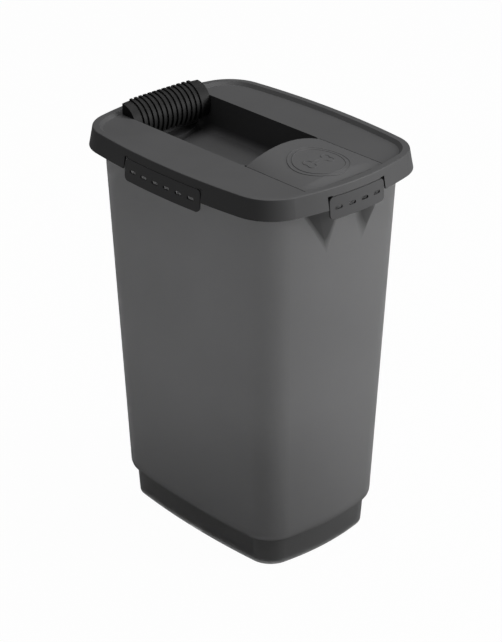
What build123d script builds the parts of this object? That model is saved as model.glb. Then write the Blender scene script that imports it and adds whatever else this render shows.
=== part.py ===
from build123d import *
import math
import os

# Pet food storage container: a tapered bin on a stacking foot, a lid with a
# hand well and a ribbed grip, a pour flap and four hinged rim latches.
# Millimetres. Origin at the middle of the foot's underside, +Z up, X across
# the bin, Y along it. The pour flap is at the -Y end, the grip at the +Y end.

# Lid outline at the skirt's lower edge. Every side is bowed slightly outwards.
lid_width = 266.4
lid_length = 350.2
lid_side_bow = 16.9
lid_end_bow = 26.0
lid_corner = 54.0

# Lid section
overall_height = 485.0
skirt_height = 23.0
skirt_lean = 4.5
lid_wall = 2.2
lip_height = 3.8
lip_top_width = 8.0
lip_slope_width = 4.0
lip_round = 1.4
seal_rib_width = 2.0

# Bin outline just under the lid, by how far it stands in from the lid's edge
top_from_side = 14.5
top_from_end = 18.3
top_side_bow = 16.9
top_end_bow = 20.0
top_corner = 42.0

# Bin outline where the straight wall starts
base_width = 198.6
base_length = 283.4
base_side_bow = 9.8
base_end_bow = 15.0
base_corner = 39.3
base_edge_rise = 12.6
edge_steps = 4

# Stacking foot
foot_height = 34.1
foot_step = 7.8
foot_draft = 2.3
foot_ring_width = 5.0
foot_ring_height = 1.5

# Bin walls and rim
bin_wall = 2.4
bin_floor = 2.6
rim_flange = 2.2
rim_turn_down = 9.5
rim_to_skirt = 0.8
rim_to_lid = 0.3

# Draped supports under the rim at both ends
support_drop = 75.0
support_apex_x = 26.0
support_top_x = 53.0
support_inner_run = 60.0
support_outer_run = 26.0
support_reach = 8.0
support_apex_depth = 0.2
support_apex_run = 3.0
support_sag = 0.05

# Hand well
well_width = 116.4
well_front = -57.0
well_from_end = 28.1
well_depth = 43.2
well_corner = 10.0
well_floor_round = 8.0
shelf_radius = 74.0
shelf_depth = 20.5
shelf_height = 6.0

# Pour mouth and the flap over it
flap_thickness = 2.0
flap_from_end = 19.6
flap_gap = 0.8
flap_front_gap = 1.6
flap_seat_gap = 0.2
flap_crease = 14.0
flap_crease_rise = 4.5
flap_back_rise = 12.0
flap_front_rise = 0.2
mouth_rim = 6.0
mouth_front_rim = 9.0
mouth_corner = 8.0
pin_radius = 1.0
pin_length = 3.0
pin_play = 0.3

# Grip over the back of the well
grip_from_end = 21.1
grip_drop = 11.2
grip_radius = 24.6
grip_wall = 6.0
grip_rib_height = 1.9
grip_rib_width = 3.4
grip_rib_pitch = 7.3
grip_ribs = 13
grip_foot_reach = 4.2
grip_lip_angle = 215.0
grip_end_gap = 0.3

# Latches
latch_thickness = 2.0
latch_height = 25.5
latch_drop = 12.5
latch_lean = 2.2
latch_corner = 5.5
latch_slit = 2.0
latch_hinge_gap = 0.6
relief_length = 6.5
relief_height = 1.6
side_latch_width = 125.0
end_latch_width = 82.0
side_latch_slots = 6
end_latch_slots = 4
slot_pitch = 19.3
slot_length = 10.5
slot_width = 3.8
slot_rise = 12.5
catch_gap = 0.3
catch_height = 3.0
catch_drop = 0.5
catch_margin = 12.0

# Heights and edges that follow from the sizes above
top_width = lid_width - 2 * top_from_side
top_length = lid_length - 2 * top_from_end
well_back = lid_length / 2 - well_from_end
shelf_front = well_back - shelf_depth
flap_front = flap_from_end - lid_length / 2
grip_y = lid_length / 2 - grip_from_end
grip_foot = grip_y + grip_foot_reach
skirt_bottom = overall_height - skirt_height
plate_top = overall_height - lip_height
plate_bottom = plate_top - lid_wall
seat_top = plate_top - flap_thickness - flap_seat_gap
seat_bottom = seat_top - lid_wall
rim_top = seat_bottom - rim_to_lid
rim_edge = rim_top - rim_turn_down
lip_inner = skirt_lean + lip_top_width
lip_foot = lip_inner + lip_slope_width
base_z = foot_height + base_edge_rise
half_well = well_width / 2
well_floor = plate_top - well_depth
well_mid = (well_front + well_back) / 2
well_length = well_back - well_front
latch_bottom = skirt_bottom - latch_drop
latch_top = latch_bottom + latch_height
hinge_y = flap_front + flap_thickness / 2
hinge_z = plate_top - flap_thickness / 2
flap_back = well_front - flap_gap
grip_z = plate_top - grip_drop
beyond = lid_length


def skirt_inset(height):
    """How far the leaning skirt's outer face stands in at a height."""
    return skirt_lean * (height - skirt_bottom) / skirt_height


rim_inset = skirt_inset(rim_top) + lid_wall + rim_to_skirt


def bowed_face(height, width, length, side_bow, end_bow, corner, inset=0.0):
    """Face at a height with bowed sides and round corners, moved in by inset."""
    half_x = width / 2
    half_y = length / 2
    side_r = (half_y**2 + side_bow**2) / (2 * side_bow)
    end_r = (half_x**2 + end_bow**2) / (2 * end_bow)
    side_c = Vector(half_x - side_r, 0)
    end_c = Vector(0, half_y - end_r)
    # The corner circle touches both bows from inside
    to_side = side_r - corner
    to_end = end_r - corner
    span = end_c - side_c
    along = (to_side**2 - to_end**2 + span.length**2) / (2 * span.length)
    across = math.sqrt(to_side**2 - along**2)
    unit = span.normalized()
    corner_c = side_c + unit * along + Vector(-unit.Y, unit.X) * across
    side_end = side_c + (corner_c - side_c).normalized() * (side_r - inset)
    end_end = end_c + (corner_c - end_c).normalized() * (end_r - inset)
    outwards = ((side_end - corner_c) + (end_end - corner_c)).normalized()
    corner_mid = corner_c + outwards * (corner - inset)

    def flip(point, x_sign, y_sign):
        return (point.X * x_sign, point.Y * y_sign)

    with BuildSketch(Plane.XY.offset(height)) as sketch:
        with BuildLine():
            ThreePointArc(flip(side_end, 1, -1), (half_x - inset, 0), flip(side_end, 1, 1))
            ThreePointArc(flip(side_end, 1, 1), flip(corner_mid, 1, 1), flip(end_end, 1, 1))
            ThreePointArc(flip(end_end, 1, 1), (0, half_y - inset), flip(end_end, -1, 1))
            ThreePointArc(flip(end_end, -1, 1), flip(corner_mid, -1, 1), flip(side_end, -1, 1))
            ThreePointArc(flip(side_end, -1, 1), (inset - half_x, 0), flip(side_end, -1, -1))
            ThreePointArc(flip(side_end, -1, -1), flip(corner_mid, -1, -1), flip(end_end, -1, -1))
            ThreePointArc(flip(end_end, -1, -1), (0, inset - half_y), flip(end_end, 1, -1))
            ThreePointArc(flip(end_end, 1, -1), flip(corner_mid, 1, -1), flip(side_end, 1, -1))
        make_face()
    return sketch.sketch


def lid_face(height, inset=0.0):
    """The lid's outline at a height, moved in by inset."""
    return bowed_face(height, lid_width, lid_length, lid_side_bow, lid_end_bow, lid_corner, inset)


def lid_ring(height, outer_inset, inner_inset):
    """A ring between two insets of the lid's outline."""
    return lid_face(height, outer_inset) - lid_face(height, inner_inset)


def wall_face(height, inset=0.0):
    """The outline of the bin's straight wall at a height, moved in by inset."""
    share = (height - base_z) / (skirt_bottom - base_z)

    def between(low, high):
        return low + (high - low) * share

    return bowed_face(
        height,
        between(base_width, top_width),
        between(base_length, top_length),
        between(base_side_bow, top_side_bow),
        between(base_end_bow, top_end_bow),
        between(base_corner, top_corner),
        inset,
    )


def base_face(height, inset=0.0):
    """The outline at the foot of the bin's straight wall, moved in by inset."""
    return bowed_face(
        height, base_width, base_length, base_side_bow, base_end_bow, base_corner, inset
    )


def foot_faces(low, high, inset=0.0):
    """The stacking foot's outlines at its lower and upper ends."""
    return [
        base_face(low, inset + foot_step + foot_draft),
        base_face(high, inset + foot_step),
    ]


def edge_faces(raise_by=0.0, inset=0.0):
    """Outlines up the bin's rounded lower edge, from the foot out to the wall."""
    faces = []
    for step in range(edge_steps + 1):
        turn = math.radians(90 * step / edge_steps)
        height = foot_height + raise_by + (base_edge_rise - raise_by) * (1 - math.cos(turn))
        faces.append(base_face(height, inset + foot_step * (1 - math.sin(turn))))
    return faces


def end_wall_y(height, x):
    """Where the bin's front wall stands at a height and a distance from the middle."""
    share = (height - base_z) / (skirt_bottom - base_z)
    half_x = (base_width + (top_width - base_width) * share) / 2
    half_y = (base_length + (top_length - base_length) * share) / 2
    bow = base_end_bow + (top_end_bow - base_end_bow) * share
    return -half_y + bow * (x / half_x) ** 2


def support_face(height, x_mid, left_run, right_run, depth):
    """One draped support in plan: two hollow flanks that meet in a ridge."""

    def inside_wall(x):
        return (x, end_wall_y(height, x) + bin_wall / 2)

    left = inside_wall(x_mid - left_run)
    right = inside_wall(x_mid + right_run)
    ridge = (x_mid, end_wall_y(height, x_mid) - depth)
    with BuildSketch(Plane.XY.offset(height)) as sketch:
        with BuildLine():
            SagittaArc(left, ridge, -support_sag * math.dist(left, ridge))
            SagittaArc(ridge, right, -support_sag * math.dist(ridge, right))
            Line(right, left)
        make_face()
    return sketch.sketch


def well_block(outset):
    """The hand well as a block with a rounded floor, grown by outset."""
    with BuildPart() as block:
        with BuildSketch(Plane.XY.offset(plate_top)):
            with Locations((0, well_mid)):
                RectangleRounded(well_width + 2 * outset, well_length + 2 * outset, well_corner + outset)
        extrude(amount=-well_depth - outset)
        fillet(block.edges().group_by(Axis.Z)[0], well_floor_round + outset)
    return block.part


def flap_face(y, rise):
    """The flap's cross-section at a distance along the bin: a thin arch."""
    edge_x = half_well - flap_gap
    low = plate_top - flap_thickness
    with BuildSketch(Plane.XZ.offset(-y)) as sketch:
        with BuildLine():
            ThreePointArc((-edge_x, low), (0, low + rise), (edge_x, low))
            Line((edge_x, low), (edge_x, plate_top))
            ThreePointArc((edge_x, plate_top), (0, plate_top + rise), (-edge_x, plate_top))
            Line((-edge_x, plate_top), (-edge_x, low))
        make_face()
    return sketch.sketch


def grip_face(radius):
    """The grip's cross-section along the bin: a hook with a round front."""

    def on_circle(r, angle):
        turn = math.radians(angle)
        return (grip_y + r * math.cos(turn), grip_z + r * math.sin(turn))

    inner_radius = grip_radius - grip_wall
    root_angle = 180 - math.degrees(math.asin(grip_drop / inner_radius))
    foot = (grip_foot, plate_top)
    root = on_circle(inner_radius, root_angle)
    mid_angle = (root_angle + grip_lip_angle) / 2
    tip_out = on_circle(radius, grip_lip_angle)
    tip_in = on_circle(inner_radius, grip_lip_angle)
    with BuildSketch(Plane.YZ) as sketch:
        with BuildLine():
            TangentArc(on_circle(radius, 90), foot, tangent=(1, 0))
            Line(foot, root)
            ThreePointArc(root, on_circle(inner_radius, mid_angle), tip_in)
            Line(tip_in, tip_out)
            ThreePointArc(tip_out, on_circle(radius, (grip_lip_angle + 90) / 2), on_circle(radius, 90))
        make_face()
    return sketch.sketch


# Bin: walls, rounded lower edge, stacking foot, supports and turned rim
with BuildPart() as container:
    loft(sections=foot_faces(0, foot_height), ruled=True)
    loft(sections=edge_faces())
    loft(sections=[wall_face(base_z), wall_face(rim_top)], ruled=True)
    # A ridge climbs outwards under the rim, with the wall draped over it
    support_top = rim_top - rim_flange / 2
    for side in (-1, 1):
        runs = [support_inner_run, support_outer_run]
        if side < 0:
            runs.reverse()
        start_x = side * support_apex_x
        end_x = side * support_top_x
        apex_runs = [support_apex_run, support_apex_run]
        loft(
            sections=[
                support_face(support_top - support_drop, start_x, *apex_runs, support_apex_depth),
                support_face(support_top, end_x, *runs, support_reach),
            ],
            ruled=True,
        )
    mirror(about=Plane.XZ)
    extrude(lid_face(rim_top - rim_flange, rim_inset), amount=rim_flange)
    extrude(lid_ring(rim_edge, rim_inset, rim_inset + bin_wall), amount=rim_turn_down)
    # Inside
    loft(
        sections=foot_faces(foot_ring_height + bin_floor, foot_height + bin_wall, bin_wall),
        ruled=True,
        mode=Mode.SUBTRACT,
    )
    loft(sections=edge_faces(bin_wall, bin_wall), mode=Mode.SUBTRACT)
    loft(
        sections=[wall_face(base_z, bin_wall), wall_face(overall_height, bin_wall)],
        ruled=True,
        mode=Mode.SUBTRACT,
    )
    foot_inset = foot_step + foot_draft + foot_ring_width
    extrude(base_face(0, foot_inset), amount=foot_ring_height, mode=Mode.SUBTRACT)

# Lid: leaning skirt, raised lip, top plate, hand well and pour mouth
with BuildPart() as lid:
    loft(sections=[lid_face(skirt_bottom), lid_face(overall_height, skirt_lean)], ruled=True)
    fillet(lid.faces().sort_by(Axis.Z)[-1].edges(), lip_round)
    loft(
        sections=[lid_face(plate_top, lip_foot), lid_face(overall_height, lip_inner)],
        ruled=True,
        mode=Mode.SUBTRACT,
    )
    loft(
        sections=[
            lid_face(skirt_bottom, lid_wall),
            lid_face(plate_bottom, lid_wall + skirt_inset(plate_bottom)),
        ],
        ruled=True,
        mode=Mode.SUBTRACT,
    )
    lip_hollow = overall_height - lid_wall - plate_bottom
    extrude(
        lid_ring(plate_bottom, skirt_lean + lid_wall, lip_inner),
        amount=lip_hollow,
        mode=Mode.SUBTRACT,
    )
    seal_bottom = rim_top + rim_to_lid
    extrude(
        lid_ring(seal_bottom, lip_inner, lip_inner + seal_rib_width),
        amount=plate_bottom - seal_bottom,
    )
    # Hand well with a shelf at its back
    add(well_block(lid_wall))
    add(well_block(0), mode=Mode.SUBTRACT)
    with BuildSketch(Plane.XY.offset(well_floor)):
        with Locations((0, well_mid)):
            RectangleRounded(well_width + lid_wall, well_length + lid_wall, well_corner)
        with Locations((0, shelf_front + shelf_radius)):
            Circle(shelf_radius, mode=Mode.INTERSECT)
    extrude(amount=shelf_height)
    # Flap seat and the mouth through it
    seat_front = flap_front - flap_front_gap
    seat_length = well_front - seat_front
    with BuildSketch(Plane.XY.offset(seat_bottom)):
        with Locations((0, seat_front - lid_wall)):
            Rectangle(
                well_width + 2 * (pin_length + lid_wall),
                seat_length + lid_wall,
                align=(Align.CENTER, Align.MIN),
            )
    extrude(amount=plate_top - seat_bottom)
    with BuildSketch(Plane.XY.offset(seat_top)):
        with Locations((0, seat_front)):
            Rectangle(well_width, seat_length + lid_wall, align=(Align.CENTER, Align.MIN))
        with Locations((0, hinge_y)):
            Rectangle(well_width + 2 * (pin_length + pin_play), 2 * (pin_radius + pin_play))
    extrude(amount=overall_height - seat_top, mode=Mode.SUBTRACT)
    mouth_width = well_width - 2 * mouth_rim
    mouth_front = flap_front + mouth_front_rim
    mouth_length = well_front - mouth_rim - mouth_front
    with BuildSketch(Plane.XY.offset(seat_bottom)):
        with Locations((0, mouth_front + mouth_length / 2)):
            RectangleRounded(mouth_width, mouth_length, mouth_corner)
    extrude(amount=lid_wall, mode=Mode.SUBTRACT)
    # Notches for the latches, with a relief slit at each end of the hinge line
    notch_height = latch_top + latch_hinge_gap - skirt_bottom
    for plane, width in ((Plane.YZ, side_latch_width), (Plane.XZ, end_latch_width)):
        notch_width = width + 2 * latch_slit
        with BuildSketch(plane):
            with Locations((0, skirt_bottom)):
                Rectangle(notch_width, notch_height, align=(Align.CENTER, Align.MIN))
            with Locations((0, latch_top)):
                with GridLocations(notch_width - relief_length, 1, 2, 1):
                    Rectangle(relief_length, relief_height, align=(Align.CENTER, Align.MIN))
        window = extrude(amount=beyond, both=True, mode=Mode.PRIVATE)
        inside = extrude(lid_face(skirt_bottom, lip_inner), amount=skirt_height, mode=Mode.PRIVATE)
        add(window - inside, mode=Mode.SUBTRACT)


def make_latch(plane, direction, width, slots):
    """A slotted plate that follows the lid's edge, with a catch inside."""
    catch_top = rim_edge - catch_drop
    with BuildPart() as latch:
        extrude(
            lid_ring(catch_top - catch_height, latch_thickness, rim_inset - catch_gap),
            amount=catch_height,
        )
        with BuildSketch(plane):
            with Locations((0, latch_bottom)):
                Rectangle(width - 2 * catch_margin, latch_height, align=(Align.CENTER, Align.MIN))
        extrude(amount=direction * beyond, mode=Mode.INTERSECT)
        loft(
            sections=[
                lid_ring(latch_bottom, 0, latch_thickness),
                lid_ring(latch_top, latch_lean, latch_lean + latch_thickness),
            ],
            ruled=True,
        )
        with BuildSketch(plane) as outline:
            with Locations((0, latch_bottom)):
                Rectangle(width, latch_height, align=(Align.CENTER, Align.MIN))
            fillet(outline.vertices().group_by(Axis.Z)[0], latch_corner)
        extrude(amount=direction * beyond, mode=Mode.INTERSECT)
        with BuildSketch(plane):
            with Locations((0, latch_bottom + slot_rise)):
                with GridLocations(slot_pitch, 1, slots, 1):
                    SlotOverall(slot_length, slot_width)
        extrude(amount=direction * beyond, mode=Mode.SUBTRACT)
    return latch


# Pour flap: a thin arch that rises towards its back edge, on hinge pins
with BuildPart() as flap:
    loft(
        sections=[
            flap_face(hinge_y, flap_front_rise),
            flap_face(flap_front + flap_crease, flap_crease_rise),
            flap_face(flap_back, flap_back_rise),
        ],
        ruled=True,
    )
    with BuildSketch(Plane.XZ.offset(-flap_back)):
        edge_x = half_well - flap_gap
        low = plate_top - flap_thickness
        with BuildLine():
            ThreePointArc((-edge_x, low), (0, low + flap_back_rise), (edge_x, low))
            Line((edge_x, low), (-edge_x, low))
        make_face()
    extrude(amount=flap_thickness)
    with BuildSketch(Plane.YZ):
        with Locations((hinge_y, hinge_z)):
            Circle(pin_radius)
    extrude(amount=half_well + pin_length, both=True)

# Grip: a hooked bar with thin ribs round it, over the back of the well
with BuildPart() as grip:
    grip_half = half_well - grip_end_gap
    extrude(grip_face(grip_radius), amount=grip_half, both=True)
    rib_face = grip_face(grip_radius + grip_rib_height)
    for count in range(grip_ribs):
        middle = (count - (grip_ribs - 1) / 2) * grip_rib_pitch
        extrude(rib_face.moved(Location((middle, 0, 0))), amount=grip_rib_width / 2, both=True)
    extrude(
        lid_face(well_floor, lip_foot + grip_end_gap),
        amount=overall_height + grip_radius - well_floor,
        mode=Mode.INTERSECT,
    )

pieces = {
    "container": container,
    "lid": lid,
    "pour_flap": flap,
    "grip": grip,
    "latch_left": make_latch(Plane.YZ, -1, side_latch_width, side_latch_slots),
    "latch_right": make_latch(Plane.YZ, 1, side_latch_width, side_latch_slots),
    "latch_front": make_latch(Plane.XZ, 1, end_latch_width, end_latch_slots),
    "latch_back": make_latch(Plane.XZ, -1, end_latch_width, end_latch_slots),
}
os.makedirs("parts", exist_ok=True)
for name, piece in pieces.items():
    piece.part.label = name
    export_step(piece.part, f"parts/{name}.step")
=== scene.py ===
import math

import bpy
import numpy as np
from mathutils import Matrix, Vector
from mathutils.bvhtree import BVHTree


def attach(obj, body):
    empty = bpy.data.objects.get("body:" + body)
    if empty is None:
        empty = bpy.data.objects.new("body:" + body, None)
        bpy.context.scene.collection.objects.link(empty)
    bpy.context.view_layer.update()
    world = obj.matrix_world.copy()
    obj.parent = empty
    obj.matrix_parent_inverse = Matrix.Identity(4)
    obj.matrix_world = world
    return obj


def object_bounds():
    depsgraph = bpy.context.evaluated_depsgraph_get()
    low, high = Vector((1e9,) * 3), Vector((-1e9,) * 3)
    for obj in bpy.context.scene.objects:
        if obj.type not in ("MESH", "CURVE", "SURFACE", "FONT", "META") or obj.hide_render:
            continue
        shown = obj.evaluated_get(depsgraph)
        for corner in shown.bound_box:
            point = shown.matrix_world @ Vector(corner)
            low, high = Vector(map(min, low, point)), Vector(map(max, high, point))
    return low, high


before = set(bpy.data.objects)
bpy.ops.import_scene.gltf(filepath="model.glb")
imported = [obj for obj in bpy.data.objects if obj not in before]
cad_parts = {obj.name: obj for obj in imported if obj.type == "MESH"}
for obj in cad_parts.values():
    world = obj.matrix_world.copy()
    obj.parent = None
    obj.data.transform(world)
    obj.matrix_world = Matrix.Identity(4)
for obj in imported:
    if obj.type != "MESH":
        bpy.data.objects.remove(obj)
cad_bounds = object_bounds()
scene = bpy.context.scene
scene.view_settings.view_transform = "Standard"

# The camera stands above the front left corner and looks down along the bin.
# Its place, lens and shift give the photograph's frame of 502 by 642 pixels.
camera_place = Vector((-1.4357, -1.5569, 1.3405))
camera_target = Vector((0.0, 0.0, 0.2425))
camera_data = bpy.data.cameras.new("camera")
camera_data.lens = 113.38
camera_data.sensor_width = 36.0
camera_data.shift_x = 0.00305
camera_data.shift_y = 0.00872
camera = bpy.data.objects.new("camera", camera_data)
camera.location = camera_place
camera.rotation_euler = (camera_target - camera_place).to_track_quat("-Z", "Y").to_euler()
scene.collection.objects.link(camera)
scene.camera = camera

# Container: one injection moulding in smoke grey polypropylene, translucent
# with a fine satin face, on a stacking foot that steps in at the bottom. Its
# base colour also holds painted shade: darker low on the wall, at the foot and
# on the supports.


class Value:
    """A shader socket that adds its own Math nodes when it is used in an expression."""

    def __init__(self, shader, socket):
        self.shader = shader
        self.socket = socket

    def math(self, operation, *others):
        return self.shader.node("ShaderNodeMath", {"operation": operation}, [self, *others])

    def __add__(self, other):
        return self.math("ADD", other)

    def __radd__(self, other):
        return self.math("ADD", other)

    def __sub__(self, other):
        return self.math("SUBTRACT", other)

    def __rsub__(self, other):
        return self.shader.node("ShaderNodeMath", {"operation": "SUBTRACT"}, [other, self])

    def __mul__(self, other):
        return self.math("MULTIPLY", other)

    def __rmul__(self, other):
        return self.math("MULTIPLY", other)

    def band(self, low, high):
        """0 below low, 1 above high and a straight climb between them."""
        return self.shader.node(
            "ShaderNodeMapRange", {}, {"Value": self, "From Min": low, "From Max": high}
        )


class Finish:
    """A material with one Principled shader and the nodes that feed it."""

    def __init__(self, name):
        self.material = bpy.data.materials.new(name)
        self.material.use_nodes = True
        self.tree = self.material.node_tree
        self.shader = self.tree.nodes["Principled BSDF"]
        place = self.tree.nodes.new("ShaderNodeTexCoord")
        self.place = Value(self, place.outputs["Object"])

    def node(self, kind, settings, values, output=0):
        """Add a node, then its settings, then the values or links of its sockets."""
        made = self.tree.nodes.new(kind)
        for setting, value in settings.items():
            setattr(made, setting, value)
        pairs = values.items() if isinstance(values, dict) else enumerate(values)
        for socket, value in pairs:
            if isinstance(value, Value):
                self.tree.links.new(value.socket, made.inputs[socket])
            else:
                made.inputs[socket].default_value = value
        return Value(self, made.outputs[output])

    def noise(self, scale, detail):
        return self.node(
            "ShaderNodeTexNoise", {}, {"Vector": self.place, "Scale": scale, "Detail": detail}
        )

    def axis(self, letter):
        return self.node("ShaderNodeSeparateXYZ", {}, [self.place], letter)

    def blend(self, share, low, high):
        """A colour between two others."""
        # A Mix node has sockets of one name for each data type, so these go by number
        factor, first, second, mixed = 0, 6, 7, 2
        colours = {factor: share, first: low, second: high}
        return self.node("ShaderNodeMix", {"data_type": "RGBA"}, colours, mixed)

    def bump(self, height, distance, strength):
        values = {"Height": height, "Distance": distance, "Strength": strength}
        return self.node("ShaderNodeBump", {}, values)

    def set(self, **sockets):
        """Set the shader's sockets: Base_Color for Base Color."""
        for name, value in sockets.items():
            socket = self.shader.inputs[name.replace("_", " ")]
            if isinstance(value, Value):
                self.tree.links.new(value.socket, socket)
            else:
                socket.default_value = value


def grey(level, tint=0.0):
    """A neutral colour, a little cooler where tint is above 0."""
    return (level, level, level * (1 + tint), 1.0)


def dress(node_name, finish):
    """Give a CAD node its finish."""
    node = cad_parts[node_name]
    node.data.materials.clear()
    node.data.materials.append(finish.material)


cool_tint = 0.01
wall_colours = (grey(0.375, cool_tint), grey(0.400, cool_tint))
# Painted shade: the low wall and the foot are painted darker than the wall, for the light
# that comes through the translucent plastic less there
low_wall_painted_shade = grey(0.335, cool_tint)
foot_painted_shade = grey(0.170, cool_tint)
# Painted shade on the supports that stand out from the wall
support_painted_shade = grey(0.050, cool_tint)
foot_shade_band = (0.030, 0.050)
low_wall_shade_band = (0.05, 0.20)
# The straight wall from its foot to the lid's skirt, and how much it widens on the way
wall_heights = (0.0467, 0.462)
foot_half_width, half_width_gain = 0.0993, 0.0194
foot_half_length, half_length_gain = 0.1417, 0.0151
foot_end_bow, end_bow_gain = 0.015, 0.005
support_shade_band = (0.0003, 0.0020)

smoke = Finish("smoke_polypropylene")
cloud = smoke.noise(9.0, 3.0)
height = smoke.axis("Z")
face = smoke.blend(cloud.band(0.35, 0.65), *wall_colours)
# Painted shade: darker low on the wall, then darker again at the foot
face = smoke.blend(height.band(*low_wall_shade_band), low_wall_painted_shade, face)
face = smoke.blend(height.band(*foot_shade_band), foot_painted_shade, face)
# Painted shade: the supports are solid, and they are painted darker for the light that comes
# through them less than through the thin wall
climb = height.band(*wall_heights)
across = smoke.axis("X").math("DIVIDE", climb * half_width_gain + foot_half_width)
end_bow = climb * end_bow_gain + foot_end_bow
wall_end = climb * half_length_gain + foot_half_length - across * across * end_bow
stands_out = smoke.axis("Y").math("ABSOLUTE") - wall_end
face = smoke.blend(stands_out.band(*support_shade_band), face, support_painted_shade)
grain = smoke.noise(1400.0, 1.0)
smoke.set(
    Base_Color=face,
    Roughness=0.46 + grain * 0.06,
    Normal=smoke.bump(grain, 0.00004, 0.4),
    Transmission_Weight=0.86,
    IOR=1.49,
)
dress("container", smoke)

# Lid: one moulding in anthracite polypropylene with a fine matte grain, and a
# raised lip all round that the bin's rim plugs into.


def grained(name, low, high):
    """An opaque moulded plastic: cloudy by a trace, with a fine matte grain."""
    plastic = Finish(name)
    grain = plastic.noise(1800.0, 2.0)
    cloud = plastic.noise(14.0, 2.0)
    plastic.set(
        Base_Color=plastic.blend(cloud.band(0.3, 0.7), grey(low, 0.02), grey(high, 0.02)),
        Roughness=0.48 + grain * 0.10,
        Normal=plastic.bump(grain, 0.00005, 0.5),
        Specular_IOR_Level=0.4,
    )
    return plastic


dress("lid", grained("anthracite_polypropylene", 0.072, 0.080))

# Latches: four slotted plates in the lid's plastic, one to each side, that
# hang from a thin hinge line and snap under the bin's rim.
latch_finish = grained("latch_polypropylene", 0.070, 0.077)
for side in ("left", "right", "front", "back"):
    dress(f"latch_{side}", latch_finish)

# Pour flap: a thin arched plate on two pins, in the lid's plastic, with a
# raised sign moulded in its middle: two rings round a plain bone.
flap_finish = grained("flap_polypropylene", 0.080, 0.088)
dress("pour_flap", flap_finish)
sign_centre = Vector((0.0, -0.112))
ring_radii = (0.0345, 0.0295)
ring_points = 96
bead_radius = 0.0007
bead_sides = 8
bead_sink = 0.0001
bone_reach = 0.0135
bone_half_bar = 0.0030
knob_radius = 0.0048
knob_offset = 0.0037
knob_points = 14

flap_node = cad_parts["pour_flap"]
flap_surface = BVHTree.FromPolygons(
    [vertex.co for vertex in flap_node.data.vertices],
    [face.vertices for face in flap_node.data.polygons],
)
ray_clearance = 0.05
above_flap = cad_bounds[1][2] + ray_clearance


def on_flap(x, y):
    """The point of the flap's upper face over a place in plan."""
    spot = Vector((sign_centre.x + x, sign_centre.y + y, above_flap))
    return flap_surface.ray_cast(spot, Vector((0, 0, -1)))[0] - Vector((0, 0, bead_sink))


def bone_outline():
    """A bone's outline: at each end two knobs, joined by a straight bar."""
    bar_turn = math.pi + math.asin((knob_offset - bone_half_bar) / knob_radius)
    notch_turn = -math.asin(knob_offset / knob_radius)
    points = []
    for end, first in ((1, 1), (1, -1), (-1, -1), (-1, 1)):
        turns = np.linspace(bar_turn, notch_turn, knob_points)
        if end * first < 0:
            turns = turns[::-1]
        for turn in turns:
            x = bone_reach + knob_radius * math.cos(turn)
            y = knob_offset + knob_radius * math.sin(turn)
            points.append((end * x, first * y))
    return points


def bead_tree():
    """A round bead along every curve of the object, at a named radius."""
    tree = bpy.data.node_groups.new("moulded_bead", "GeometryNodeTree")
    tree.interface.new_socket("Geometry", in_out="INPUT", socket_type="NodeSocketGeometry")
    tree.interface.new_socket("Bead radius", in_out="INPUT", socket_type="NodeSocketFloat")
    tree.interface.new_socket("Bead sides", in_out="INPUT", socket_type="NodeSocketInt")
    tree.interface.new_socket("Plastic", in_out="INPUT", socket_type="NodeSocketMaterial")
    tree.interface.new_socket("Geometry", in_out="OUTPUT", socket_type="NodeSocketGeometry")
    given = tree.nodes.new("NodeGroupInput")
    circle = tree.nodes.new("GeometryNodeCurvePrimitiveCircle")
    sweep = tree.nodes.new("GeometryNodeCurveToMesh")
    smooth = tree.nodes.new("GeometryNodeSetShadeSmooth")
    real = tree.nodes.new("GeometryNodeRealizeInstances")
    paint = tree.nodes.new("GeometryNodeSetMaterial")
    result = tree.nodes.new("NodeGroupOutput")
    for source, target in (
        (given.outputs["Bead sides"], circle.inputs["Resolution"]),
        (given.outputs["Bead radius"], circle.inputs["Radius"]),
        (given.outputs["Geometry"], sweep.inputs["Curve"]),
        (circle.outputs["Curve"], sweep.inputs["Profile Curve"]),
        (sweep.outputs["Mesh"], smooth.inputs["Geometry"]),
        (smooth.outputs["Geometry"], real.inputs["Geometry"]),
        (real.outputs["Geometry"], paint.inputs["Geometry"]),
        (given.outputs["Plastic"], paint.inputs["Material"]),
        (paint.outputs["Geometry"], result.inputs["Geometry"]),
    ):
        tree.links.new(source, target)
    return tree


def swept(name, curve, tree, values):
    """Run a node tree on a curve and keep the result as a plain mesh object."""
    source = bpy.data.objects.new(name + "_path", curve)
    scene.collection.objects.link(source)
    modifier = source.modifiers.new("tree", "NODES")
    modifier.node_group = tree
    for socket in tree.interface.items_tree:
        if socket.in_out == "INPUT" and socket.name in values:
            modifier[socket.identifier] = values[socket.name]
    bpy.context.view_layer.update()
    depsgraph = bpy.context.evaluated_depsgraph_get()
    mesh = bpy.data.meshes.new_from_object(source.evaluated_get(depsgraph))
    bpy.data.objects.remove(source)
    made = bpy.data.objects.new(name, mesh)
    scene.collection.objects.link(made)
    return made


outlines = [bone_outline()]
for radius in ring_radii:
    turns = np.linspace(0, 2 * math.pi, ring_points, endpoint=False)
    outlines.append([(radius * math.cos(turn), radius * math.sin(turn)) for turn in turns])
sign_curve = bpy.data.curves.new("flap_sign", "CURVE")
sign_curve.dimensions = "3D"
for outline in outlines:
    spline = sign_curve.splines.new("POLY")
    spline.points.add(len(outline) - 1)
    for point, (x, y) in zip(spline.points, outline):
        point.co = (*on_flap(x, y), 1.0)
    spline.use_cyclic_u = True
flap_sign = swept(
    "flap_sign",
    sign_curve,
    bead_tree(),
    {"Bead radius": bead_radius, "Bead sides": bead_sides, "Plastic": flap_finish.material},
)
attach(flap_sign, "pour_flap")

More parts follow.
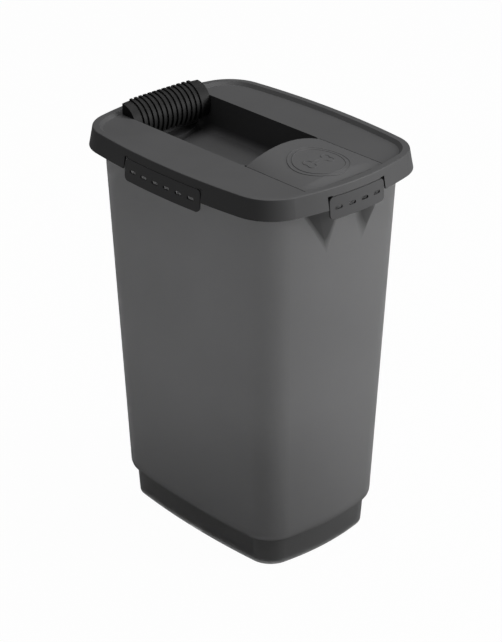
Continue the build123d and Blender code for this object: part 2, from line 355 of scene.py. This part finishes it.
# Grip: a bar in near black plastic, softer to the hand, ribbed across.
black = Finish("soft_black_plastic")
grain = black.noise(1500.0, 2.0)
black.set(
    Base_Color=black.blend(grain.band(0.3, 0.7), grey(0.010), grey(0.013)),
    Roughness=0.55 + grain * 0.10,
    Normal=black.bump(grain, 0.00005, 0.5),
    Specular_IOR_Level=0.25,
)
dress("grip", black)

# The room: a pale floor that goes white to the camera and keeps the bin's
# shadow, a white world behind it, and two soft lamps, above and front right.
floor_size = 12.0
floor_whiteness = 0.98
fill_strength = 0.12
white_strength = 1.0
aim_height = 0.25

bpy.ops.mesh.primitive_plane_add(size=floor_size, location=(0, 0, 0))
floor = bpy.context.object
floor.name = "floor"
floor_finish = Finish("pale_floor")
floor_finish.set(Base_Color=grey(0.50), Roughness=0.9)
to_camera = floor_finish.node("ShaderNodeLightPath", {}, {}, "Is Camera Ray")
through_bin = floor_finish.node("ShaderNodeLightPath", {}, {}, "Is Transmission Ray")
seen = to_camera.math("MAXIMUM", through_bin)
lit_floor = Value(floor_finish, floor_finish.shader.outputs[0])
white = floor_finish.node("ShaderNodeEmission", {}, {"Strength": white_strength})
surface = floor_finish.node(
    "ShaderNodeMixShader", {}, [seen * floor_whiteness, lit_floor, white]
)
floor_finish.tree.links.new(
    surface.socket, floor_finish.tree.nodes["Material Output"].inputs["Surface"]
)
floor.data.materials.append(floor_finish.material)

world = bpy.data.worlds.new("studio")
scene.world = world
world.use_nodes = True
sky = world.node_tree
rays = sky.nodes.new("ShaderNodeLightPath")
backdrop = sky.nodes.new("ShaderNodeBackground")
backdrop.inputs["Color"].default_value = grey(1.0)
backdrop.inputs["Strength"].default_value = white_strength
fill = sky.nodes["Background"]
fill.inputs["Color"].default_value = grey(1.0)
fill.inputs["Strength"].default_value = fill_strength
either = sky.nodes.new("ShaderNodeMath")
either.operation = "MAXIMUM"
sky.links.new(rays.outputs["Is Camera Ray"], either.inputs[0])
sky.links.new(rays.outputs["Is Transmission Ray"], either.inputs[1])
sky_mix = sky.nodes.new("ShaderNodeMixShader")
sky.links.new(either.outputs[0], sky_mix.inputs[0])
sky.links.new(fill.outputs[0], sky_mix.inputs[1])
sky.links.new(backdrop.outputs[0], sky_mix.inputs[2])
sky.links.new(sky_mix.outputs[0], sky.nodes["World Output"].inputs["Surface"])


def soft_lamp(name, place, size, power):
    """A square lamp aimed at the middle of the bin."""
    lamp = bpy.data.lights.new(name, "AREA")
    lamp.size = size
    lamp.energy = power
    holder = bpy.data.objects.new(name, lamp)
    holder.location = place
    aim = Vector((0, 0, aim_height)) - Vector(place)
    holder.rotation_euler = aim.to_track_quat("-Z", "Y").to_euler()
    scene.collection.objects.link(holder)


soft_lamp("overhead_lamp", (0.5, 0.2, 2.5), 1.6, 27)
soft_lamp("right_lamp", (1.7, -2.3, 1.5), 1.3, 73)
